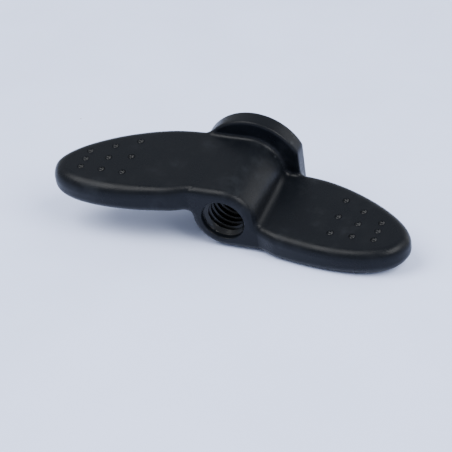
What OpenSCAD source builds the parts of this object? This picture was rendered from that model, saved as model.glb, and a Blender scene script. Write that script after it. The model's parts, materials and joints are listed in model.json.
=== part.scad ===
// Moulded wing nut with a threaded bush, lying on its side.
// Working axes: Y runs along the thread from the mouth (0) to the seat, X along the wings.

/* [Thread] */
// Diameter of the plain bore through the bush, the thread's minor diameter
bore_d = 6.65; // [4:0.05:7.2]
// Diameter of the smooth mouth in front of the bush
mouth_d = 8; // [7.4:0.1:8.6]
// Depth of the smooth mouth
mouth_depth = 0.9; // [0.4:0.1:2]

/* [Bush] */
// Outside diameter of the bush
bush_d = 10.2; // [9.6:0.1:10.6]
// Number of lengthwise flutes that key the bush in the moulding
flutes = 12; // [6:1:16]
// Diameter of a flute
flute_d = 0.9; // [0.6:0.1:1.2]
// Width of the groove that stops the bush from pulling out
groove_w = 4; // [2:0.5:8]
// Depth of that groove
groove_depth = 0.5; // [0.2:0.1:0.6]

/* [Hub] */
// Diameter of the hub
hub_d = 12.2; // [12:0.1:14]
// Length from the mouth face to the seat face
nut_l = 19.3; // [18:0.1:24]
// Break on the hub's front edge
hub_edge = 0.45; // [0.2:0.05:0.7]

/* [Flange] */
// Diameter of the flange
flange_d = 19.5; // [17:0.1:24]
// Thickness of the flange
flange_t = 3.5; // [2.5:0.1:4]
// Distance across the two flats of the flange
flange_af = 17.7; // [16:0.1:18.5]
// Radius of the hollow corner between hub and flange
flange_fillet = 0.8; // [0.6:0.1:1.6]
// Break on the flange's edges
flange_edge = 0.5; // [0.2:0.05:0.7]

/* [Wings] */
// Half length of the leaf that each wing is cut from
leaf_l = 20.9; // [18:0.1:26]
// Half width of the leaf on the mouth side
leaf_front = 9.15; // [7:0.05:9.3]
// Half width of the leaf on the seat side
leaf_rear = 9.25; // [7:0.05:9.3]
// Fullness of the outline on the mouth side, 2 for an ellipse
full_front = 2.35; // [2:0.05:2.6]
// Fullness of the outline on the seat side
full_rear = 1.76; // [1.5:0.02:2]
// Distance from the thread axis out to the leaf's centre
leaf_out = 12.7; // [11:0.1:15]
// Distance from the mouth face back to the leaf's centre
leaf_back = 7.3; // [7:0.05:8]
// Angle that the leaf's tip is swept towards the mouth
leaf_sweep = 11.3; // [6:0.1:14]
// Distance from the thread axis to a wing's outer face
wing_face = 6.05; // [5.4:0.05:6.05]
// Thickness of a wing
wing_t = 5.25; // [4:0.05:5.6]
// Rounding of a wing's edges
wing_edge = 1.6; // [0.6:0.1:2.2]

/* [Pips] */
// Diameter of a pip where it meets the wing
pip_d = 0.95; // [0.8:0.05:1.4]
// Height of a pip
pip_h = 0.3; // [0.2:0.02:0.4]
// Rows of pips along each wing
pip_rows = 3; // [1:1:3]
// Distance from the thread axis to the first row
pip_out = 19.2; // [17:0.1:20]
// Spacing of the rows
pip_pitch = 4; // [3:0.1:4.2]
// Distance from the mouth face to the middle pip of the first row
pip_back = 6.55; // [5:0.05:7]
// How much nearer the mouth each further row lies
pip_fall = 1.13; // [0.8:0.01:1.3]
// Spacing across the wing in the first row
pip_spread = 4.45; // [3:0.05:4.6]
// How much that spacing closes up in each further row
pip_close = 1.1; // [0.6:0.05:1.3]

/* [Hidden] */

hub_r = hub_d / 2;
flange_r = flange_d / 2;
mouth_r = mouth_d / 2;
bore_r = bore_d / 2;
bush_r = bush_d / 2;
bush_l = nut_l - mouth_depth;
flange_y = nut_l - flange_t;
pip_ball_r = (pow(pip_d / 2, 2) + pow(pip_h, 2)) / (2 * pip_h);
// How far in front of the mouth the low wing's edge touches the table
touch_down = 1.15;
// The axis dips towards the mouth, because the nut rests on its low wing's edge and its wider flange rim
lie_angle = atan((flange_r - wing_face) / (flange_y + touch_down));
// Overlap that keeps cuts clean
eps = 0.01;
fine = 96;

// Puts a piece where it lies, with the centre of the seat face at the origin
module as_it_lies() {
    rotate([lie_angle, 0, 0]) translate([0, -nut_l, 0]) children();
}

// Turns a shape drawn round Z so that it stands along the thread axis, starting at a distance y
module along_axis(y) {
    translate([0, y, 0]) rotate([-90, 0, 0]) children();
}

// A power of a sine or cosine that keeps its sign, for a full or lean oval
function bent(s, fullness) = sign(s) * pow(abs(s), 2 / fullness);

// Outline of a wing pulled in by an inset: the leaf beyond the hub, closed by a straight root on the thread axis
function wing_outline(inset) = concat(
    [[0, flange_y - 0.5], [0, inset]],
    [for (a = [-174 : 6 : 180])
        let (fullness = a < 0 ? full_front : full_rear)
        let (half_w = a < 0 ? leaf_front : leaf_rear)
        let (u = (leaf_l - inset) * bent(cos(a), fullness), v = (half_w - inset) * bent(sin(a), fullness))
        let (x = leaf_out + u * cos(leaf_sweep) + v * sin(leaf_sweep))
        let (y = leaf_back - u * sin(leaf_sweep) + v * cos(leaf_sweep))
        if (x > hub_r) [x, y]]
);

// One wing: the outline with rounded edges, its outer face turned down
module wing() {
    hull()
        for (a = [-90 : 30 : 90])
            translate([0, 0, wing_t / 2 - wing_face + (wing_t / 2 - wing_edge) * sign(a)
                + wing_edge * sin(a) - eps / 2])
                linear_extrude(eps) polygon(wing_outline(wing_edge * (1 - cos(a))));
}

// The pips on one face of a wing, at a height z; side is 1 for a face that looks up and -1 for one that looks down
module pips(z, side) {
    for (i = [0 : pip_rows - 1], j = [-1 : 1])
        translate([pip_out + i * pip_pitch, pip_back - i * pip_fall + j * (pip_spread - i * pip_close),
            z - side * (pip_ball_r - pip_h)])
            sphere(r = pip_ball_r, $fn = 24);
}

// A wing with its pips on both faces
module dressed_wing() {
    wing();
    pips(wing_t - wing_face, 1);
    pips(-wing_face, -1);
}

// Hub and flange as one turned shape, before the flats
module hub_and_flange() {
    along_axis(0)
        rotate_extrude($fn = fine)
            difference() {
                polygon([[0, 0], [hub_r - hub_edge, 0], [hub_r, hub_edge], [hub_r, flange_y - flange_fillet],
                    [hub_r + flange_fillet, flange_y], [flange_r - flange_edge, flange_y],
                    [flange_r, flange_y + flange_edge], [flange_r, nut_l - flange_edge],
                    [flange_r - flange_edge, nut_l], [0, nut_l]]);
                translate([hub_r + flange_fillet, flange_y - flange_fillet]) circle(flange_fillet, $fn = fine);
            }
}

// Outside of the bush: a round bar with flutes along it and a groove round its middle
module bush_blank() {
    along_axis(mouth_depth)
        difference() {
            cylinder(r = bush_r, h = bush_l, $fn = fine);
            for (i = [0 : flutes - 1])
                rotate([0, 0, i * 360 / flutes])
                    translate([bush_r, 0, -1]) cylinder(d = flute_d, h = bush_l + 2, $fn = 24);
            translate([0, 0, (bush_l - groove_w) / 2])
                difference() {
                    cylinder(r = bush_r + 1, h = groove_w, $fn = fine);
                    translate([0, 0, -1]) cylinder(r = bush_r - groove_depth, h = groove_w + 2, $fn = fine);
                }
        }
}

// The moulding: hub, flange and both wings in one piece, round the bush
module wing_body() {
    color("#202529")
        as_it_lies()
            difference() {
                union() {
                    intersection() {
                        hub_and_flange();
                        translate([-flange_af / 2, -1, -flange_r - 1]) cube([flange_af, nut_l + 2, flange_d + 2]);
                    }
                    dressed_wing();
                    rotate([0, 180, 0]) dressed_wing();
                }
                along_axis(-1) cylinder(r = mouth_r, h = mouth_depth + 1 + eps, $fn = fine);
                bush_blank();
            }
}

// The bush that carries the thread, bored right through
module threaded_bush() {
    color("#34383b")
        as_it_lies()
            difference() {
                bush_blank();
                along_axis(-1) cylinder(r = bore_r, h = nut_l + 2, $fn = fine);
            }
}

wing_body();
threaded_bush();
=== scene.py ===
"""Moulded wing nut with a threaded bush: the looks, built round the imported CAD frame.

Shapes are worked out in millimetres on the nut's own working axes, with Y along the thread from the mouth
to the seat, X along the wings and Z up, and are then laid down in the frame's metres.
"""

import json
import logging
import math
from dataclasses import dataclass, field
from enum import Enum
from typing import Callable

import bmesh
import bpy
import numpy as np
from mathutils import Matrix, Vector


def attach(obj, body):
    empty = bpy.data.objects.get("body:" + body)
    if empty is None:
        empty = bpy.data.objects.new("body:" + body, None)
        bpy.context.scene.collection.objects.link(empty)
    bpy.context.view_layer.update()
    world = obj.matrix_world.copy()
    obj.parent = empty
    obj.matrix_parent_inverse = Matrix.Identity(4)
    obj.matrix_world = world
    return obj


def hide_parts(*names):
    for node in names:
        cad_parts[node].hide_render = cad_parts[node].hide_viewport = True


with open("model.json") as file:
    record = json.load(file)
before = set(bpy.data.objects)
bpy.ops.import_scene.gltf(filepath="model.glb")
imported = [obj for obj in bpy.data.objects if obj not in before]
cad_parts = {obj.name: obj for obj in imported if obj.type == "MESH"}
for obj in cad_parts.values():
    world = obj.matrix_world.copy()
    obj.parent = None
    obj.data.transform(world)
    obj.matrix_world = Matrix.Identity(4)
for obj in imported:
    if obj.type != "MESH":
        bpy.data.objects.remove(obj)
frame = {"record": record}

LOG = logging.getLogger("wing_nut")
MM = 0.001
BODY = "root"

Field = Callable[[np.ndarray], np.ndarray]


class Slot(Enum):
    """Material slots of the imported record."""

    PLASTIC = "moulded_plastic"
    STEEL = "blackened_steel"


class Face(Enum):
    """The two faces of a wing, by the way they look on the right-hand wing."""

    INNER = 1
    OUTER = -1


# ---------------------------------------------------------------- where the nut lies


@dataclass(frozen=True)
class Lie:
    """How the working axes sit in the frame.

    Attributes:
        dip: Angle by which the thread axis rises from the mouth to the seat, in radians.
        length: Length from the mouth face to the seat face, in millimetres.
    """

    dip: float
    length: float

    @classmethod
    def from_record(cls, record: dict, mouth_depth: float) -> "Lie":
        """Reads the lie from the thread mount.

        Args:
            record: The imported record.
            mouth_depth: Depth of the smooth mouth in front of the bush, in millimetres.

        Returns:
            The lie of the nut.
        """
        thread = next(mount for mount in record["mounts"] if mount["name"] == "thread")
        return cls(math.asin(thread["axis"][2]), thread["dims"]["length_mm"] + mouth_depth)

    def matrix(self) -> Matrix:
        """Returns the matrix from working millimetres to frame metres."""
        turn = Matrix.Rotation(self.dip, 4, "X")
        return turn @ Matrix.Scale(MM, 4) @ Matrix.Translation((0.0, -self.length, 0.0))


# ---------------------------------------------------------------- distance fields


def joined(first: np.ndarray, second: np.ndarray, radius: float) -> np.ndarray:
    """Joins two solids with a hollow fillet of a given radius.

    Args:
        first: Distances to the first solid, negative inside.
        second: Distances to the second solid.
        radius: Radius of the fillet.

    Returns:
        Distances to the joined solid.
    """
    near = np.hypot(np.maximum(radius - first, 0.0), np.maximum(radius - second, 0.0))
    return np.maximum(radius, np.minimum(first, second)) - near


def trimmed(first: np.ndarray, second: np.ndarray, radius: float | np.ndarray) -> np.ndarray:
    """Keeps what two solids share, with its edge rounded over.

    Args:
        first: Distances to the first solid, negative inside.
        second: Distances to the second solid.
        radius: Radius of the rounded edge, one value or one for each point.

    Returns:
        Distances to the shared solid.
    """
    over_first, over_second = first + radius, second + radius
    outside = np.hypot(np.maximum(over_first, 0.0), np.maximum(over_second, 0.0))
    return np.minimum(np.maximum(over_first, over_second), 0.0) + outside - radius


def eased(value: np.ndarray, start: float, end: float) -> np.ndarray:
    """Returns the heights, at given places, of a curve that rises smoothly from 0 at start to 1 at end."""
    ramp = np.clip((value - start) / (end - start), 0.0, 1.0)
    return ramp * ramp * (3.0 - 2.0 * ramp)


def surface_net(solid: Field, low: tuple, high: tuple, step: float) -> tuple[np.ndarray, np.ndarray]:
    """Wraps a field's zero surface in quads, one corner in each grid cell that the surface crosses.

    Args:
        solid: Field of signed distances.
        low: Lowest corner of the box that holds the solid.
        high: Highest corner of that box.
        step: Side of a grid cell.

    Returns:
        The corners, and the quads as rows of four corner numbers, facing outwards.
    """
    lines = [np.arange(lo, hi + step, step) for lo, hi in zip(low, high)]
    grid = np.stack(np.meshgrid(*lines, indexing="ij"), axis=-1)
    values = solid(grid.reshape(-1, 3)).reshape(grid.shape[:3])
    cells = tuple(count - 1 for count in values.shape)
    total, hits = np.zeros((*cells, 3)), np.zeros(cells, dtype=int)
    crossings = []
    for axis in range(3):
        head = tuple(slice(0, -1) if a == axis else slice(None) for a in range(3))
        tail = tuple(slice(1, None) if a == axis else slice(None) for a in range(3))
        cross = (values[head] < 0.0) != (values[tail] < 0.0)
        share = np.where(cross, values[head] / np.where(cross, values[head] - values[tail], 1.0), 0.0)
        point = grid[head].copy()
        point[..., axis] += share * step
        crossings.append((cross, values[head] < 0.0))
        for one in (0, 1):
            for two in (0, 1):
                shift = {(axis + 1) % 3: one, (axis + 2) % 3: two}
                part = tuple(slice(shift.get(a, 0), shift.get(a, 0) + cells[a]) for a in range(3))
                total += np.where(cross[part][..., None], point[part], 0.0)
                hits += cross[part]
    used = hits > 0
    number = np.full(cells, -1)
    number[used] = np.arange(int(used.sum()))
    quads = []
    for axis, (cross, outwards) in enumerate(crossings):
        place = np.argwhere(cross)
        side_one, side_two = (axis + 1) % 3, (axis + 2) % 3
        inner = (place[:, side_one] > 0) & (place[:, side_two] > 0)
        inner &= (place[:, side_one] < cells[side_one]) & (place[:, side_two] < cells[side_two])
        place = place[inner]
        ring = []
        for one, two in ((1, 1), (0, 1), (0, 0), (1, 0)):
            cell = place.copy()
            cell[:, side_one] -= one
            cell[:, side_two] -= two
            ring.append(number[tuple(cell.T)])
        quad = np.stack(ring, axis=1)
        keep = outwards[tuple(place.T)]
        quads.append(np.where(keep[:, None], quad, quad[:, ::-1]))
    return total[used] / hits[used][:, None], np.concatenate(quads)


def settled(points: np.ndarray, quads: np.ndarray, solid: Field, step: float, rounds: int = 5) -> np.ndarray:
    """Evens out a net's corners and draws each one onto the true surface.

    Args:
        points: The net's corners.
        quads: The net's quads.
        solid: Field of signed distances.
        step: Side of the net's grid cell, which limits how far a corner may move at once.
        rounds: Number of rounds.

    Returns:
        The corners' new places.
    """
    starts = quads.ravel()
    ends = np.roll(quads, -1, axis=1).ravel()
    degree = np.bincount(starts, minlength=len(points))[:, None]
    reach, probe = step / 2, step / 50
    for turn in range(rounds):
        if turn < rounds - 2:
            mean = np.stack([np.bincount(starts, points[ends, a], len(points)) for a in range(3)], axis=1)
            points = 0.5 * points + 0.5 * mean / degree
        value = solid(points)
        nudges = (probe * np.eye(3)[a] for a in range(3))
        slope = np.stack([(solid(points + nudge) - value) / probe for nudge in nudges], axis=1)
        pull = value / np.maximum((slope**2).sum(axis=1), 0.1)
        points = points - np.clip(pull, -reach, reach)[:, None] * slope
    return points


# ---------------------------------------------------------------- meshes


def mesh_object(name: str, points: np.ndarray, faces: np.ndarray | list) -> bpy.types.Object:
    """Makes a linked mesh object from corners and faces.

    Args:
        name: Name of the piece.
        points: Corners as rows of three numbers.
        faces: Faces as rows of corner numbers.

    Returns:
        The new object, at the origin.
    """
    mesh = bpy.data.meshes.new(name)
    mesh.from_pydata(np.asarray(points).tolist(), [], np.asarray(faces).tolist())
    mesh.validate()
    piece = bpy.data.objects.new(name, mesh)
    bpy.context.scene.collection.objects.link(piece)
    return piece


def tube_faces(around: int, rows: int) -> np.ndarray:
    """Returns the quads between rows of corners, each row being a closed ring."""
    row, spot = np.meshgrid(np.arange(rows - 1), np.arange(around), indexing="ij")
    this, beside = row * around + spot, row * around + (spot + 1) % around
    return np.stack((this, beside, beside + around, this + around), axis=-1).reshape(-1, 4)


def ring(radius: np.ndarray | float, along: np.ndarray | float, turns: int) -> np.ndarray:
    """Makes a ring of corners round the thread axis.

    Args:
        radius: Radius, one value or one for each corner.
        along: Distance from the mouth face, one value or one for each corner.
        turns: Number of corners.

    Returns:
        Rows of three numbers, starting at the top and going right-handed about the thread axis.
    """
    angle = np.arange(turns) * 2 * math.pi / turns
    return np.stack([radius * np.sin(angle), along + 0.0 * angle, radius * np.cos(angle)], axis=1)


def turned(name: str, profile: list[tuple], turns: int) -> bpy.types.Object:
    """Makes a closed turned solid.

    Args:
        name: Name of the object.
        profile: Radius and distance along the axis, from a point on the axis to another one.
        turns: Number of corners in a ring.

    Returns:
        The mesh object.
    """
    rows = [ring(radius, along, turns) for radius, along in profile]
    solid = mesh_object(name, np.concatenate(rows), tube_faces(turns, len(rows)))
    polished(solid, 40.0, merge=1e-5)
    return solid


def polished(piece: bpy.types.Object, crease: float, merge: float = 0.0) -> None:
    """Merges doubles, points the faces outwards and smooths everything but real creases.

    Args:
        piece: Mesh object to finish.
        crease: Angle in degrees past which an edge stays sharp.
        merge: Distance under which corners are merged, in the mesh's own unit.
    """
    work = bmesh.new()
    work.from_mesh(piece.data)
    if merge > 0.0:
        bmesh.ops.remove_doubles(work, verts=work.verts[:], dist=merge)
        bmesh.ops.dissolve_degenerate(work, edges=work.edges[:], dist=merge)
    bmesh.ops.recalc_face_normals(work, faces=work.faces[:])
    work.to_mesh(piece.data)
    work.free()
    piece.data.shade_smooth()
    piece.data.set_sharp_from_angle(angle=math.radians(crease))


def cut_away(piece: bpy.types.Object, cutter: bpy.types.Object) -> None:
    """Cuts the cutter's mesh out of the piece's and removes the cutter."""
    cut = piece.modifiers.new("cut", "BOOLEAN")
    cut.operation = "DIFFERENCE"
    cut.solver = "MANIFOLD"
    cut.object = cutter
    baked = bpy.data.meshes.new_from_object(piece.evaluated_get(bpy.context.evaluated_depsgraph_get()))
    piece.modifiers.remove(cut)
    old, piece.data = piece.data, baked
    baked.name = piece.name
    bpy.data.meshes.remove(old)
    spare = cutter.data
    bpy.data.objects.remove(cutter)
    bpy.data.meshes.remove(spare)


# ---------------------------------------------------------------- shader node groups


class NodeSheet:
    """A thin wrapper that adds and wires nodes in one tree."""

    def __init__(self, tree: bpy.types.NodeTree) -> None:
        """Keeps the tree that the nodes go into."""
        self.tree = tree

    def add(self, kind: str, **settings: object) -> bpy.types.Node:
        """Adds a node of Blender's own kind, sets its properties and returns it."""
        node = self.tree.nodes.new(kind)
        for key, value in settings.items():
            setattr(node, key, value)
        return node

    def feed(self, socket: bpy.types.NodeSocket, source: object) -> None:
        """Links an input socket to an output, or sets its plain value."""
        if isinstance(source, bpy.types.NodeSocket):
            self.tree.links.new(source, socket)
        else:
            socket.default_value = source

    def math(self, operation: str, *sources: object) -> bpy.types.NodeSocket:
        """Adds a Math node with outputs or numbers for its inputs and returns its result."""
        node = self.add("ShaderNodeMath", operation=operation)
        for socket, source in zip(node.inputs, sources):
            self.feed(socket, source)
        return node.outputs[0]

    def noise(self, where: object, scale: object, detail: float, rough: float = 0.5) -> object:
        """Adds a noise texture and returns its value.

        Args:
            where: Coordinates.
            scale: Scale, as an output or a number.
            detail: Number of octaves.
            rough: Weight of the finer octaves.

        Returns:
            Values round 0.5.
        """
        node = self.add("ShaderNodeTexNoise")
        self.feed(node.inputs["Vector"], where)
        self.feed(node.inputs["Scale"], scale)
        node.inputs["Detail"].default_value = detail
        node.inputs["Roughness"].default_value = rough
        return node.outputs["Fac"]

    def ramp(self, source: object, low: object, high: object, start: float = 0.0, end: float = 1.0) -> object:
        """Maps a value from one range to another, smoothly and clamped.

        Args:
            source: Value that is mapped.
            low: Start of the range that is read.
            high: End of that range.
            start: Value given at low.
            end: Value given at high.

        Returns:
            The mapped value.
        """
        node = self.add("ShaderNodeMapRange", interpolation_type="SMOOTHSTEP")
        ends = {"Value": source, "From Min": low, "From Max": high, "To Min": start, "To Max": end}
        for name, value in ends.items():
            self.feed(node.inputs[name], value)
        return node.outputs["Result"]


def group_sheet(name: str, inputs: dict[str, float], outputs: tuple[str, ...]) -> tuple:
    """Starts a shader node group.

    Args:
        name: Name of the group.
        inputs: Names and default values of its number inputs; a Where vector comes first.
        outputs: Names of its number outputs.

    Returns:
        The group's tree, its sheet, its input node and its output node.
    """
    tree = bpy.data.node_groups.new(name, "ShaderNodeTree")
    tree.interface.new_socket("Where", in_out="INPUT", socket_type="NodeSocketVector")
    for label, value in inputs.items():
        tree.interface.new_socket(label, in_out="INPUT", socket_type="NodeSocketFloat").default_value = value
    for label in outputs:
        tree.interface.new_socket(label, in_out="OUTPUT", socket_type="NodeSocketFloat")
    sheet = NodeSheet(tree)
    return tree, sheet, sheet.add("NodeGroupInput"), sheet.add("NodeGroupOutput")


class Effects:
    """Surface effects that the finishes share, each built once as a node group."""

    def __init__(self) -> None:
        """Builds the groups."""
        self.grain = self._grain()
        self.specks = self._specks()
        self.wear = self._wear()
        self.haze = self._haze()

    @staticmethod
    def _grain() -> bpy.types.NodeTree:
        """Returns a fine even grain over slow mottling, as a height and a mottle mask."""
        scales = {"Scale": 5000.0, "Mottle Scale": 250.0}
        tree, sheet, source, result = group_sheet("fine_grain", scales, ("Height", "Mottle"))
        fine = sheet.noise(source.outputs["Where"], source.outputs["Scale"], 3.0, 0.6)
        slow = sheet.noise(source.outputs["Where"], source.outputs["Mottle Scale"], 4.0)
        sheet.feed(result.inputs["Height"], fine)
        sheet.feed(result.inputs["Mottle"], sheet.ramp(slow, 0.3, 0.7))
        return tree

    @staticmethod
    def _specks() -> bpy.types.NodeTree:
        """Returns sparse small specks, each in its own cell and of its own size."""
        amounts = {"Scale": 400.0, "Size": 0.1, "Share": 0.15}
        tree, sheet, source, result = group_sheet("dust_specks", amounts, ("Mask",))
        cells = sheet.add("ShaderNodeTexVoronoi", feature="F1")
        sheet.feed(cells.inputs["Vector"], source.outputs["Where"])
        sheet.feed(cells.inputs["Scale"], source.outputs["Scale"])
        split = sheet.add("ShaderNodeSeparateColor")
        sheet.feed(split.inputs["Color"], cells.outputs["Color"])
        size = sheet.math("MULTIPLY", source.outputs["Size"], split.outputs["Green"])
        dot = sheet.ramp(cells.outputs["Distance"], sheet.math("MULTIPLY", size, 0.5), size, 1.0, 0.0)
        chosen = sheet.math("LESS_THAN", split.outputs["Red"], source.outputs["Share"])
        sheet.feed(result.inputs["Mask"], sheet.math("MULTIPLY", dot, chosen))
        return tree

    @staticmethod
    def _wear() -> bpy.types.NodeTree:
        """Returns a broken mask along outside edges."""
        amounts = {"Scale": 900.0, "Start": 0.52, "End": 0.6}
        tree, sheet, source, result = group_sheet("edge_wear", amounts, ("Mask",))
        edge = sheet.add("ShaderNodeNewGeometry").outputs["Pointiness"]
        mask = sheet.ramp(edge, source.outputs["Start"], source.outputs["End"])
        broken = sheet.ramp(sheet.noise(source.outputs["Where"], source.outputs["Scale"], 5.0, 0.7), 0.42, 0.62)
        sheet.feed(result.inputs["Mask"], sheet.math("MULTIPLY", mask, broken))
        return tree

    @staticmethod
    def _haze() -> bpy.types.NodeTree:
        """Returns a handling haze: soft patches broken up by a finer mottling."""
        scales = {"Patch Scale": 90.0, "Fine Scale": 500.0}
        tree, sheet, source, result = group_sheet("haze", scales, ("Mask",))
        where = source.outputs["Where"]
        patches = sheet.noise(where, source.outputs["Patch Scale"], 4.0, 0.6)
        fine = sheet.noise(where, source.outputs["Fine Scale"], 4.0, 0.65)
        mask = sheet.math("MULTIPLY", sheet.ramp(patches, 0.45, 0.70), sheet.ramp(fine, 0.35, 0.70))
        sheet.feed(result.inputs["Mask"], mask)
        return tree


def placed(sheet: NodeSheet, group: bpy.types.NodeTree, where: object, **values: float) -> bpy.types.Node:
    """Places a shared effect in a material with its own values.

    Args:
        sheet: Sheet of the material.
        group: The effect.
        where: Coordinates.
        **values: Input values, with spaces in their names written as underscores.

    Returns:
        The group node.
    """
    node = sheet.add("ShaderNodeGroup", node_tree=group)
    sheet.feed(node.inputs["Where"], where)
    for name, value in values.items():
        node.inputs[name.replace("_", " ")].default_value = value
    return node


def blank_material(name: str) -> tuple[bpy.types.Material, NodeSheet, bpy.types.Node]:
    """Starts a node material and returns it, its sheet and its shader node."""
    material = bpy.data.materials.new(name)
    material.use_nodes = True
    return material, NodeSheet(material.node_tree), material.node_tree.nodes["Principled BSDF"]


def mixed(sheet: NodeSheet, share: object, first: object, second: object) -> bpy.types.NodeSocket:
    """Mixes two colours, by the second one's share, and returns the mixed colour."""
    node = sheet.add("ShaderNodeMix", data_type="RGBA")
    sheet.feed(node.inputs["Factor"], share)
    sheet.feed(node.inputs["A"], first)
    sheet.feed(node.inputs["B"], second)
    return node.outputs["Result"]


def grained(
    sheet: NodeSheet, shader: bpy.types.Node, grain: bpy.types.Node, roughness: tuple, depth: float
) -> None:
    """Gives a finish the uneven roughness and the fine relief of the grain.

    Args:
        sheet: Sheet of the material.
        shader: The material's shader node.
        grain: The grain's group node.
        roughness: Lowest and highest roughness.
        depth: Depth of the grain, in metres.
    """
    sheet.feed(shader.inputs["Roughness"], sheet.ramp(grain.outputs["Mottle"], 0.0, 1.0, *roughness))
    bump = sheet.add("ShaderNodeBump")
    bump.inputs["Distance"].default_value = depth
    sheet.feed(bump.inputs["Height"], grain.outputs["Height"])
    sheet.feed(shader.inputs["Normal"], bump.outputs["Normal"])


@dataclass(frozen=True)
class SatinPlastic:
    """Black moulded plastic with a fine satin grain.

    Attributes:
        colour: Linear colour of the bulk.
        pale: Linear colour of rubbed edges.
        haze: Linear colour of the handling haze.
        dust: Linear colour of dust.
        roughness: Lowest and highest roughness.
        shine: Specular level, 0.5 for an ordinary polished plastic.
        grain: Depth of the grain, in metres.
    """

    colour: tuple = (0.0030, 0.0038, 0.0054, 1.0)
    pale: tuple = (0.030, 0.033, 0.037, 1.0)
    haze: tuple = (0.0085, 0.0100, 0.0125, 1.0)
    dust: tuple = (0.20, 0.21, 0.22, 1.0)
    roughness: tuple = (0.27, 0.38)
    shine: float = 0.115
    grain: float = 0.00003

    def material(self, effects: Effects) -> bpy.types.Material:
        """Builds the material from the shared effects."""
        material, sheet, shader = blank_material("satin_black_plastic")
        shader.inputs["Specular IOR Level"].default_value = self.shine
        where = sheet.add("ShaderNodeTexCoord").outputs["Object"]
        grain = placed(sheet, effects.grain, where, Scale=5200.0, Mottle_Scale=220.0)
        wear = placed(sheet, effects.wear, where, Scale=1100.0, Start=0.53, End=0.62)
        specks = placed(sheet, effects.specks, where, Scale=300.0, Size=0.09, Share=0.12)
        haze = placed(sheet, effects.haze, where, Patch_Scale=110.0, Fine_Scale=600.0)
        hazed = mixed(sheet, haze.outputs["Mask"], self.colour, self.haze)
        rubbed = mixed(sheet, sheet.math("MULTIPLY", wear.outputs["Mask"], 0.5), hazed, self.pale)
        sheet.feed(shader.inputs["Base Color"], mixed(sheet, specks.outputs["Mask"], rubbed, self.dust))
        grained(sheet, shader, grain, self.roughness, self.grain)
        return material


@dataclass(frozen=True)
class PolishedPip:
    """The same plastic on the pips, given a darker colour that paints shade on them: glossy on their flanks,
    dull where they flare into the face.

    Attributes:
        colour: Linear colour, darker than the plastic's own: painted shade on the pips.
        roughness: Roughness of the flanks.
        shine: Specular levels of the flat foot and of the flanks.
        mottle: How many times brighter its paler patches are.
    """

    colour: tuple = (0.0016, 0.0019, 0.0025, 1.0)
    roughness: float = 0.30
    shine: tuple = (0.02, 0.20)
    mottle: float = 2.5

    def material(self, effects: Effects) -> bpy.types.Material:
        """Builds the material from the shared effects."""
        material, sheet, shader = blank_material("polished_black_pip")
        where = sheet.add("ShaderNodeTexCoord")
        split = sheet.add("ShaderNodeSeparateXYZ")
        sheet.feed(split.inputs[0], where.outputs["Normal"])
        flat = sheet.math("ABSOLUTE", split.outputs["Z"])
        dull, glossy = self.shine
        sheet.feed(shader.inputs["Specular IOR Level"], sheet.ramp(flat, 0.80, 0.93, glossy, dull))
        grain = placed(sheet, effects.grain, where.outputs["Object"], Scale=5200.0, Mottle_Scale=400.0)
        pale = tuple(self.mottle * part for part in self.colour[:3]) + (1.0,)
        # The darker base colour paints shade on the pips; the paler patches are a random mottle.
        sheet.feed(shader.inputs["Base Color"], mixed(sheet, grain.outputs["Mottle"], self.colour, pale))
        shader.inputs["Roughness"].default_value = self.roughness
        return material


@dataclass(frozen=True)
class BlackenedSteel:
    """Turned steel with a thin oiled black oxide.

    Attributes:
        colour: Linear colour of the oxide.
        bright: Linear colour of rubbed crests.
        roughness: Lowest and highest roughness.
        shine: Specular level, 0.5 for an ordinary polished coat.
        grain: Depth of the turning grain, in metres.
    """

    colour: tuple = (0.0045, 0.0050, 0.0056, 1.0)
    bright: tuple = (0.030, 0.032, 0.035, 1.0)
    roughness: tuple = (0.20, 0.32)
    shine: float = 0.24
    grain: float = 0.000008

    def material(self, effects: Effects) -> bpy.types.Material:
        """Builds the material from the shared effects."""
        material, sheet, shader = blank_material("blackened_steel")
        shader.inputs["Specular IOR Level"].default_value = self.shine
        where = sheet.add("ShaderNodeTexCoord").outputs["Object"]
        grain = placed(sheet, effects.grain, where, Scale=7000.0, Mottle_Scale=500.0)
        wear = placed(sheet, effects.wear, where, Scale=1500.0, Start=0.54, End=0.66)
        sheet.feed(shader.inputs["Base Color"], mixed(sheet, wear.outputs["Mask"], self.colour, self.bright))
        grained(sheet, shader, grain, self.roughness, self.grain)
        return material


@dataclass(frozen=True)
class PaleSheet:
    """The smooth pale sheet that the nut lies on.

    Attributes:
        colour: Linear colour.
        dust: Linear colour of the dust on it.
        roughness: Roughness.
        shine: Specular level.
        mottle: How bright its duller patches are, as a share of the colour.
    """

    colour: tuple = (0.62, 0.70, 0.97, 1.0)
    dust: tuple = (0.16, 0.17, 0.19, 1.0)
    roughness: float = 0.7
    shine: float = 0.2
    mottle: float = 0.96

    def material(self, effects: Effects) -> bpy.types.Material:
        """Builds the material from the shared effects, with the faintest mottling and a few specks."""
        material, sheet, shader = blank_material("pale_sheet")
        where = sheet.add("ShaderNodeTexCoord").outputs["Object"]
        slow = sheet.ramp(sheet.noise(where, 40.0, 3.0), 0.3, 0.7)
        shade = tuple(self.mottle * part for part in self.colour[:3]) + (1.0,)
        specks = placed(sheet, effects.specks, where, Scale=170.0, Size=0.045, Share=0.05)
        tone = mixed(sheet, slow, self.colour, shade)
        sheet.feed(shader.inputs["Base Color"], mixed(sheet, specks.outputs["Mask"], tone, self.dust))
        shader.inputs["Roughness"].default_value = self.roughness
        shader.inputs["Specular IOR Level"].default_value = self.shine
        return material


# ---------------------------------------------------------------- the moulding


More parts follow.
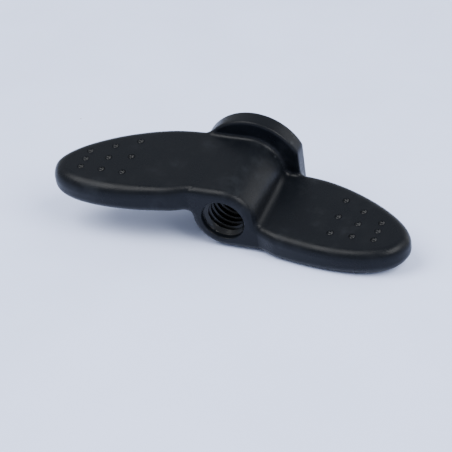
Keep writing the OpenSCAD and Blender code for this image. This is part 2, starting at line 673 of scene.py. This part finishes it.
@dataclass(frozen=True)
class Leaf:
    """The leaf that a wing's outline follows, an oval with its own fullness on each side.

    Attributes:
        half_length: Half its length, in millimetres, like all the sizes here.
        half_front: Half width on the mouth side.
        half_rear: Half width on the seat side.
        full_front: Fullness on the mouth side, 2 for an ellipse.
        full_rear: Fullness on the seat side.
        out: Distance of its centre from the thread axis.
        back: Distance of its centre from the mouth face.
        sweep: Angle of its tip towards the mouth, in degrees.
    """

    half_length: float = 20.85
    half_front: float = 9.1
    half_rear: float = 9.2
    full_front: float = 2.36
    full_rear: float = 1.756
    out: float = 12.7
    back: float = 7.3
    sweep: float = 11.3

    def distance(self, x: np.ndarray, y: np.ndarray) -> np.ndarray:
        """Measures how far points in plan lie outside the leaf.

        Args:
            x: Distances from the thread axis.
            y: Distances from the mouth face.

        Returns:
            Distances that are exact at the outline and close near it.
        """
        turn = math.radians(self.sweep)
        along = (x - self.out) * math.cos(turn) - (y - self.back) * math.sin(turn)
        across = (x - self.out) * math.sin(turn) + (y - self.back) * math.cos(turn)
        front = across < 0.0
        power = np.where(front, self.full_front, self.full_rear)
        width = np.where(front, self.half_front, self.half_rear)
        one, two = np.abs(along) / self.half_length + 1e-9, np.abs(across) / width + 1e-9
        reach = (one**power + two**power) ** (1.0 / power)
        steep = np.hypot(one ** (power - 1.0) / self.half_length, two ** (power - 1.0) / width)
        return (reach - 1.0) / (reach ** (1.0 - power) * steep)


@dataclass
class Moulding:
    """Hub, flange and wings, moulded in one piece.

    Attributes:
        lie: How the nut lies.
        leaf: Outline of a wing.
        hub_r: Radius of the hub, in millimetres, like all the sizes here.
        mouth_r: Radius of the smooth mouth.
        mouth_depth: Depth of the smooth mouth.
        lip: Rounding of the mouth's edge.
        flange_r: Radius of the flange.
        flange_y: Distance from the mouth face to the flange's front face.
        flat: Distance from the thread axis to each flat of the flange.
        wing_face: Distance from the thread axis to a wing's outer face.
        wing_t: Thickness of a wing.
        tip_bend: How strongly a wing's tip bends back towards the middle.
        bend_start: Distance from the thread axis at which that bend starts.
        waist: How far a wing's mouth-side wall draws back next to the hub.
        root_end: Distance from the thread axis at which a wing has left the hub.
        valley: Radius of the hollow corner between a wing and the hub.
        root_fillet: Radius of the hollow corner between the hub and the flange.
        hub_edge: Rounding of the hub's front edge.
        wing_edge: Rounding of a wing's edges half-way out.
        tip_inner: Rounding of a wing's tip towards its inner face.
        tip_outer: Rounding of a wing's tip towards its outer face.
        flange_front: Rounding of the flange's front edge.
        flange_rear: Rounding of the flange's edge round the seat.
        flat_edge: Rounding where a flat meets the flange's rim.
        step: Side of a cell of the net that the surface is wrapped in.
    """

    lie: Lie
    leaf: Leaf = field(default_factory=Leaf)
    hub_r: float = 6.1
    mouth_r: float = 4.0
    mouth_depth: float = 0.9
    lip: float = 0.2
    flange_r: float = 9.74
    flange_y: float = 15.8
    flat: float = 8.84
    wing_face: float = 6.04
    wing_t: float = 5.25
    tip_bend: float = 0.0024
    bend_start: float = 21.5
    waist: float = 0.55
    root_end: float = 10.0
    valley: float = 1.4
    root_fillet: float = 0.8
    hub_edge: float = 1.4
    wing_edge: float = 1.6
    tip_inner: float = 1.9
    tip_outer: float = 2.5
    flange_front: float = 0.5
    flange_rear: float = 0.85
    flat_edge: float = 0.2
    step: float = 0.25

    def edge(self, out: np.ndarray, level: np.ndarray) -> np.ndarray:
        """Returns the rounding of hub and wing edges.

        Args:
            out: Distances from the thread axis towards the tip.
            level: Heights on the right-hand wing's side, without the tip's bend.

        Returns:
            Radii that grow from the hub to the tip, more so on the outer face.
        """
        middle = self.wing_t / 2 - self.wing_face
        inner_share = eased(level, middle - 0.8, middle + 0.8)
        at_tip = self.tip_outer + (self.tip_inner - self.tip_outer) * inner_share
        along = self.hub_edge + (self.wing_edge - self.hub_edge) * eased(out, 5.0, self.root_end)
        return along + (at_tip - self.wing_edge) * eased(out, 8.0, 30.0)

    def bend(self, out: np.ndarray | float) -> np.ndarray | float:
        """Returns how far a wing's faces lift at a distance out from the thread axis."""
        return self.tip_bend * np.maximum(out - self.bend_start, 0.0) ** 2

    def section(self, out: np.ndarray, up: np.ndarray) -> np.ndarray:
        """Measures distances to the front-view section of hub and wing.

        Args:
            out: Distances from the thread axis towards the tip.
            up: Heights on the right-hand wing's side.

        Returns:
            Distances, negative inside.
        """
        level = up - self.bend(out)
        round_hub = np.hypot(out, level) - self.hub_r
        inner_face = level - (self.wing_t - self.wing_face)
        # Below the mouth the outer face runs from the hub's crown down to the wing's own level.
        outer_face = (self.hub_r - self.wing_face) * eased(out, 0.0, self.mouth_r) - self.hub_r - level
        return np.maximum(joined(round_hub, inner_face, self.valley), outer_face)

    def solid(self, points: np.ndarray) -> np.ndarray:
        """Measures distances to the moulding before its mouth and pocket are cut.

        Args:
            points: Points on the working axes, as rows.

        Returns:
            Distances, negative inside.
        """
        x, y, z = points.T
        out, up = np.abs(x), np.where(x < 0.0, -z, z)
        near_hub = (1.0 - eased(out, self.hub_r, self.root_end)) * (y < self.leaf.back)
        wing = self.leaf.distance(out, y) + self.waist * near_hub
        plan = np.minimum(wing, np.maximum(out - self.hub_r, -y))
        core = trimmed(self.section(out, up), plan, self.edge(out, up - self.bend(out)))
        core = np.maximum(core, y - self.lie.length + self.root_fillet + 0.1)
        disc = trimmed(np.hypot(x, z) - self.flange_r, out - self.flat, self.flat_edge)
        flange = trimmed(disc, self.flange_y - y, self.flange_front)
        flange = trimmed(flange, y - self.lie.length, self.flange_rear)
        return joined(core, flange, self.root_fillet)

    def build(self, bush: "Bush") -> bpy.types.Object:
        """Wraps the moulding's surface in a mesh and cuts the mouth and the bush's pocket.

        Args:
            bush: The bush whose pocket is cut.

        Returns:
            The finished mesh object, on the working axes.
        """
        reach = self.leaf.out + self.leaf.half_length + 1.0
        low, high = (-reach, -3.0, -self.flange_r - 0.5), (reach, self.lie.length + 0.6, self.flange_r + 0.5)
        points, quads = surface_net(self.solid, low, high, self.step)
        points = settled(points, quads, self.solid, self.step)
        piece = mesh_object("moulding", points, quads)
        cut_away(piece, turned("hollow", self.mouth_profile() + bush.pocket_profile(), bush.turns))
        return piece

    def mouth_profile(self) -> list[tuple]:
        """Returns the profile of the mouth, which has a rounded lip."""
        start, steps, ahead = math.radians(20.0), 6, 0.5
        profile = [(0.0, -ahead)]
        for step in range(steps + 1):
            turn = start + (math.pi / 2 - start) * step / steps
            radius = self.mouth_r + self.lip * (1 - math.sin(turn))
            along = self.lip * (math.cos(start) - math.cos(turn))
            if step == 0:
                profile.append((radius + ahead / math.tan(start), -ahead))
            profile.append((radius, along))
        return [*profile, (self.mouth_r, self.mouth_depth)]


# ---------------------------------------------------------------- the grip pips


@dataclass(frozen=True)
class Pips:
    """The grip pips on the faces of both wings.

    Attributes:
        moulding: The moulding that they stand on.
        diameter: Diameter of a pip's dome, in millimetres, like all the sizes here.
        height: Height of a pip.
        foot: Radius of the hollow corner round a pip's foot.
        out: Distance from the thread axis to the first row.
        pitch: Spacing of the rows.
        back: Distance from the mouth face to the first row's middle pip.
        fall: How much nearer the mouth each further row lies.
        spread: Spacing across the first row.
        close: How much that spacing closes up in each further row.
    """

    moulding: Moulding
    diameter: float = 0.95
    height: float = 0.40
    foot: float = 0.24
    out: float = 19.2
    pitch: float = 4.0
    back: float = 6.55
    fall: float = 1.13
    spread: float = 4.45
    close: float = 1.1

    def dome(self) -> bpy.types.Object:
        """Returns one pip: a dome that flares out into the face, closed below."""
        turns, steps, sunk = 24, 6, 0.02
        radius = self.diameter / 2
        ball = (radius**2 + self.height**2) / (2 * self.height)
        lean = math.asin(radius / ball)
        profile = [(0.0, self.height - sunk)]
        for step in range(1, steps + 1):
            angle = 0.85 * lean * step / steps
            profile.append((ball * math.sin(angle), self.height - ball * (1 - math.cos(angle)) - sunk))
        last_out, last_up = profile[-1]
        for step in range(1, steps // 2 + 1):
            share = step / (steps // 2)
            profile.append((last_out + self.foot * share, last_up * (1 - share) ** 2))
        wide = last_out + self.foot
        profile += [(wide, -0.2), (0.0, -0.2)]
        pip = turned("pip", profile, turns)
        pip.data.transform(Matrix.Rotation(math.pi / 2, 4, "X"))
        return pip

    def tree(self) -> bpy.types.NodeTree:
        """Builds the node tree that sets a fan of pips out on one face of a wing.

        Returns:
            The tree, with a named input for each size.
        """
        tree = bpy.data.node_groups.new("pip_fan", "GeometryNodeTree")
        face = tree.interface
        face.new_socket("Geometry", in_out="INPUT", socket_type="NodeSocketGeometry")
        face.new_socket("Pip", in_out="INPUT", socket_type="NodeSocketObject")
        face.new_socket("Finish", in_out="INPUT", socket_type="NodeSocketMaterial")
        for name in ("Rows", "Across"):
            face.new_socket(name, in_out="INPUT", socket_type="NodeSocketInt").default_value = 3
        for name in ("Out", "Pitch", "Back", "Fall", "Spread", "Close", "Level", "Bend", "Bend Start"):
            face.new_socket(name, in_out="INPUT", socket_type="NodeSocketFloat")
        face.new_socket("Geometry", in_out="OUTPUT", socket_type="NodeSocketGeometry")
        sheet = NodeSheet(tree)
        given = sheet.add("NodeGroupInput").outputs
        count = sheet.math("MULTIPLY", given["Rows"], given["Across"])
        points = sheet.add("GeometryNodePoints")
        sheet.feed(points.inputs["Count"], count)
        index = sheet.add("GeometryNodeInputIndex").outputs[0]
        row = sheet.math("FLOOR", sheet.math("DIVIDE", index, given["Across"]))
        middle = sheet.math("DIVIDE", sheet.math("SUBTRACT", given["Across"], 1.0), 2.0)
        place = sheet.math("SUBTRACT", sheet.math("MODULO", index, given["Across"]), middle)
        x = sheet.math("MULTIPLY_ADD", row, given["Pitch"], given["Out"])
        gap = sheet.math("SUBTRACT", given["Spread"], sheet.math("MULTIPLY", row, given["Close"]))
        y = sheet.math("SUBTRACT", given["Back"], sheet.math("MULTIPLY", row, given["Fall"]))
        y = sheet.math("MULTIPLY_ADD", place, gap, y)
        past = sheet.math("MAXIMUM", sheet.math("SUBTRACT", x, given["Bend Start"]), 0.0)
        z = sheet.math("MULTIPLY_ADD", sheet.math("MULTIPLY", past, past), given["Bend"], given["Level"])
        spot = sheet.add("ShaderNodeCombineXYZ")
        for socket, value in zip(spot.inputs, (x, y, z)):
            sheet.feed(socket, value)
        sheet.feed(points.inputs["Position"], spot.outputs[0])
        info = sheet.add("GeometryNodeObjectInfo", transform_space="ORIGINAL")
        sheet.feed(info.inputs["Object"], given["Pip"])
        spread = sheet.add("GeometryNodeInstanceOnPoints")
        sheet.feed(spread.inputs["Points"], points.outputs[0])
        sheet.feed(spread.inputs["Instance"], info.outputs["Geometry"])
        real = sheet.add("GeometryNodeRealizeInstances")
        sheet.feed(real.inputs[0], spread.outputs[0])
        finish = sheet.add("GeometryNodeSetMaterial")
        sheet.feed(finish.inputs["Geometry"], real.outputs[0])
        sheet.feed(finish.inputs["Material"], given["Finish"])
        sheet.feed(sheet.add("NodeGroupOutput").inputs[0], finish.outputs[0])
        return tree

    def fan(
        self, tree: bpy.types.NodeTree, pip: bpy.types.Object, face: Face, finish: bpy.types.Material
    ) -> bpy.types.Mesh:
        """Sets out the pips of one face of the right-hand wing.

        Args:
            tree: The fan's node tree.
            pip: One pip.
            face: Which face.
            finish: Material of the pips.

        Returns:
            The pips as a plain mesh.
        """
        body = self.moulding
        level = body.wing_t - body.wing_face if face is Face.INNER else -body.wing_face
        carrier = mesh_object("pip_carrier", [(0.0, 0.0, 0.0)], [])
        fan = carrier.modifiers.new("fan", "NODES")
        fan.node_group = tree
        values = {
            "Pip": pip, "Finish": finish, "Out": self.out, "Pitch": self.pitch, "Back": self.back,
            "Fall": self.fall, "Spread": self.spread, "Close": self.close,
            "Level": level, "Bend": body.tip_bend, "Bend Start": body.bend_start,
        }
        for socket in tree.interface.items_tree:
            if socket.in_out == "INPUT" and socket.name in values:
                fan[socket.identifier] = values[socket.name]
        mesh = bpy.data.meshes.new_from_object(carrier.evaluated_get(bpy.context.evaluated_depsgraph_get()))
        carrier.modifiers.remove(fan)
        bpy.data.objects.remove(carrier)
        return mesh

    def build(self, finish: bpy.types.Material) -> bpy.types.Object:
        """Makes all the pips as one piece.

        Args:
            finish: Material of the pips.

        Returns:
            The mesh object, on the working axes.
        """
        tree, half_turn = self.tree(), Matrix.Rotation(math.pi, 4, "Y")
        work = bmesh.new()
        for face in Face:
            pip = self.dome()
            if face is Face.OUTER:
                pip.data.transform(Matrix.Rotation(math.pi, 4, "X"))
            mesh = self.fan(tree, pip, face, finish)
            work.from_mesh(mesh)
            mesh.transform(half_turn)
            work.from_mesh(mesh)
            bpy.data.meshes.remove(mesh)
            bpy.data.objects.remove(pip)
        piece = mesh_object("grip_pips", [(0.0, 0.0, 0.0)], [])
        work.to_mesh(piece.data)
        work.free()
        polished(piece, 60.0)
        return piece


# ---------------------------------------------------------------- the threaded bush


@dataclass(frozen=True)
class Bush:
    """The threaded bush in the hub.

    Attributes:
        lie: How the nut lies.
        start: Distance from the mouth face to its front face, in millimetres, like all the sizes here.
        radius: Outside radius.
        flutes: Number of lengthwise flutes.
        flute_r: Radius of a flute.
        minor_r: Radius of the thread's crests.
        major_r: Radius of the thread's roots.
        pitch: Pitch of the thread.
        countersink: Radius at which the thread opens out at both ends.
        bevel: Width of the bevel round the seat end.
        gap: Play between the bush and its pocket, so that their joint shows.
        turns: Number of corners in a ring.
    """

    lie: Lie
    start: float = 0.9
    radius: float = 5.1
    flutes: int = 12
    flute_r: float = 0.45
    minor_r: float = 3.325
    major_r: float = 4.0
    pitch: float = 1.25
    countersink: float = 4.12
    bevel: float = 0.12
    gap: float = 0.03
    turns: int = 192

    def outside(self, angle: np.ndarray, play: float) -> np.ndarray:
        """Returns the outside radius by angle, made larger by a given play."""
        spacing = 2 * math.pi / self.flutes
        offset = np.abs((angle + spacing / 2) % spacing - spacing / 2)
        sideways = self.radius * np.sin(offset)
        inside = sideways < self.flute_r
        bite = np.sqrt(np.maximum(self.flute_r**2 - sideways**2, 0.0))
        return np.where(inside, self.radius * np.cos(offset) - bite, self.radius) + play

    def thread_radius(self, turn: np.ndarray) -> np.ndarray:
        """Returns the thread's radius by the share of a pitch past a crest's middle."""
        share = np.abs((turn + 0.5) % 1.0 - 0.5)
        flank_start, flank_end = 0.125, 0.4375
        rise = np.clip((share - flank_start) / (flank_end - flank_start), 0.0, 1.0)
        return self.minor_r + (self.major_r - self.minor_r) * rise

    def pocket_profile(self) -> list[tuple]:
        """Returns the profile of the bush's pocket, which opens out a little at the seat."""
        seat, beyond = self.lie.length, 0.5
        edge = self.outside(np.arange(self.turns) * 2 * math.pi / self.turns, self.gap)
        turn, end = seat - self.bevel, seat - self.bevel + beyond
        return [(edge, self.start), (edge, turn), (edge + beyond, end), (0.0, end)]

    def build(self) -> bpy.types.Object:
        """Makes the bush with its real helical thread.

        Returns:
            The mesh object, on the working axes.
        """
        turns, rows_per_pitch = self.turns, 16
        front, seat = self.start + 0.01, self.lie.length
        angle = np.arange(turns) * 2 * math.pi / turns
        outer, wide, bevel = self.outside(angle, 0.0), self.countersink, self.bevel
        profile = [(wide, seat), (outer - bevel, seat), (outer, seat - bevel), (outer, front), (wide, front)]
        rows = [ring(radius, along, turns) for radius, along in profile]
        last = int((seat - front) / self.pitch + 3) * rows_per_pitch
        for row in range(-2 * rows_per_pitch, last):
            share = row / rows_per_pitch
            along = np.clip(front + self.pitch * (share + angle / (2 * math.pi)), front, seat)
            opening = wide - np.minimum(along - front, seat - along)
            rows.append(ring(np.maximum(self.thread_radius(share), opening), along, turns))
        return self._closed(rows, rows_per_pitch)

    def _closed(self, rows: list, rows_per_pitch: int) -> bpy.types.Object:
        """Joins the rows, each thread row running on into the one a pitch further along.

        Args:
            rows: Rows of corners, five for the outside and the rest for the thread.
            rows_per_pitch: Number of thread rows in a pitch.

        Returns:
            The bush's mesh object.
        """
        outside_rows, total, turns = 5, len(rows), self.turns
        points = np.concatenate(rows)
        faces = tube_faces(turns, outside_rows).tolist()
        for row in range(outside_rows, total - 1):
            for spot in range(turns - 1):
                a = row * turns + spot
                faces.append((a, a + 1, a + turns + 1, a + turns))
            end, wrapped = row * turns + turns - 1, row + rows_per_pitch
            if wrapped + 1 < total:
                faces.append((end, wrapped * turns, (wrapped + 1) * turns, end + turns))
        piece = mesh_object("threaded_bush_turned", points, faces)
        polished(piece, 35.0, merge=2e-4)
        return piece


# ---------------------------------------------------------------- the studio


def heading(azimuth: float, elevation: float) -> Vector:
    """Returns the direction at a turn to the right of the mouth's side and a height angle, both in degrees."""
    turn, rise = math.radians(azimuth), math.radians(elevation)
    return Vector((math.sin(turn) * math.cos(rise), -math.cos(turn) * math.cos(rise), math.sin(rise)))


@dataclass(frozen=True)
class Lamp:
    """A soft square lamp that faces the nut.

    Attributes:
        name: Name of the lamp.
        azimuth: Its turn to the right of the mouth's side, in degrees.
        elevation: Its height angle, in degrees.
        size: Its side, in metres.
        power: Its power, in watts.
        distance: Its distance, in metres.
        colour: Its linear colour.
    """

    name: str
    azimuth: float
    elevation: float
    size: float
    power: float
    distance: float = 0.9
    colour: tuple = (1.0, 1.0, 1.0)

    def hang(self) -> None:
        """Makes the lamp."""
        data = bpy.data.lights.new(self.name, "AREA")
        data.shape, data.size = "SQUARE", self.size
        data.energy, data.color = self.power, self.colour
        lamp = bpy.data.objects.new(self.name, data)
        away = heading(self.azimuth, self.elevation)
        lamp.location = away * self.distance
        lamp.rotation_euler = (-away).to_track_quat("-Z", "Y").to_euler()
        bpy.context.scene.collection.objects.link(lamp)


@dataclass(frozen=True)
class Studio:
    """Pale floor, soft light and camera.

    Attributes:
        azimuth: The camera's turn to the right of the mouth's side, in degrees.
        elevation: The camera's height angle, in degrees.
        roll: The camera's tilt, in degrees.
        distance: Distance from the camera to the point it aims at, in metres.
        aim: The point that the camera aims at.
        lens: Focal length, in millimetres, for a 36 mm sensor.
        room_colour: Linear colour of the room's even light.
        room_light: Strength of that light.
    """

    azimuth: float = 22.70
    elevation: float = 28.85
    roll: float = -2.47
    distance: float = 0.3935
    aim: tuple = (-0.00183, -0.01300, -0.00850)
    lens: float = 175.4
    room_colour: tuple = (0.87, 0.91, 1.0, 1.0)
    room_light: float = 0.87

    def camera(self) -> None:
        """Makes the camera that the scene is seen through."""
        away = heading(self.azimuth, self.elevation)
        data = bpy.data.cameras.new("camera")
        data.lens = self.lens
        data.clip_start, data.clip_end = 0.01, 20.0
        camera = bpy.data.objects.new("camera", data)
        look = (-away).to_track_quat("-Z", "Y").to_matrix().to_4x4()
        camera.matrix_world = (
            Matrix.Translation(Vector(self.aim) + away * self.distance)
            @ look
            @ Matrix.Rotation(math.radians(self.roll), 4, "Z")
        )
        bpy.context.scene.collection.objects.link(camera)
        bpy.context.scene.camera = camera

    def floor(self, level: float, effects: Effects) -> None:
        """Makes the floor.

        Args:
            level: Height of the floor, in metres.
            effects: The shared node groups.
        """
        half = 3.0
        corners = [(-half, -half, level), (half, -half, level), (half, half, level), (-half, half, level)]
        floor = mesh_object("floor", corners, [(0, 1, 2, 3)])
        floor.data.materials.append(PaleSheet().material(effects))

    def light(self) -> None:
        """Hangs the lamps and sets the even light of the room."""
        for lamp in (
            Lamp("right_box", azimuth=66.0, elevation=44.0, size=0.60, power=11.0),
            Lamp("left_box", azimuth=-50.0, elevation=55.0, size=0.62, power=10.5),
            Lamp("rear_panel", azimuth=132.0, elevation=16.0, size=0.90, power=4.5),
        ):
            lamp.hang()
        world = bpy.data.worlds.new("room")
        world.use_nodes = True
        backdrop = world.node_tree.nodes["Background"]
        backdrop.inputs["Color"].default_value = self.room_colour
        backdrop.inputs["Strength"].default_value = self.room_light
        bpy.context.scene.world = world


# ---------------------------------------------------------------- the whole nut


def lay_down(piece: bpy.types.Object, finish: bpy.types.Material, lie: Lie, slot: Slot, *nodes: str) -> None:
    """Args:
        piece: Mesh object on the working axes.
        finish: Its material.
        lie: How the nut lies.
        slot: Material slot that its finish comes from; not used.
        *nodes: CAD nodes that it stands for.
    """
    piece.data.materials.clear()
    piece.data.materials.append(finish)
    piece.data.transform(lie.matrix())
    piece.data.update()
    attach(piece, BODY)
    if nodes:
        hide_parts(*nodes)
    LOG.info("%s: %d faces", piece.name, len(piece.data.polygons))


def main() -> None:
    """Builds the nut's pieces, then the studio."""
    logging.basicConfig(level=logging.INFO, format="%(name)s %(message)s")
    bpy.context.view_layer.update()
    lie = Lie.from_record(frame["record"], Moulding.mouth_depth)
    effects = Effects()
    plastic, steel = SatinPlastic().material(effects), BlackenedSteel().material(effects)
    glossy = PolishedPip().material(effects)

    bush, moulding = Bush(lie), Moulding(lie)
    body = moulding.build(bush)
    polished(body, 40.0)
    lay_down(body, plastic, lie, Slot.PLASTIC, "wing_body")
    lay_down(Pips(moulding).build(glossy), glossy, lie, Slot.PLASTIC)
    lay_down(bush.build(), steel, lie, Slot.STEEL, "threaded_bush")

    lowest = min(corner.co.z for corner in body.data.vertices)
    studio = Studio()
    studio.floor(lowest, effects)
    studio.light()
    studio.camera()


if __name__ == "__main__":
    main()
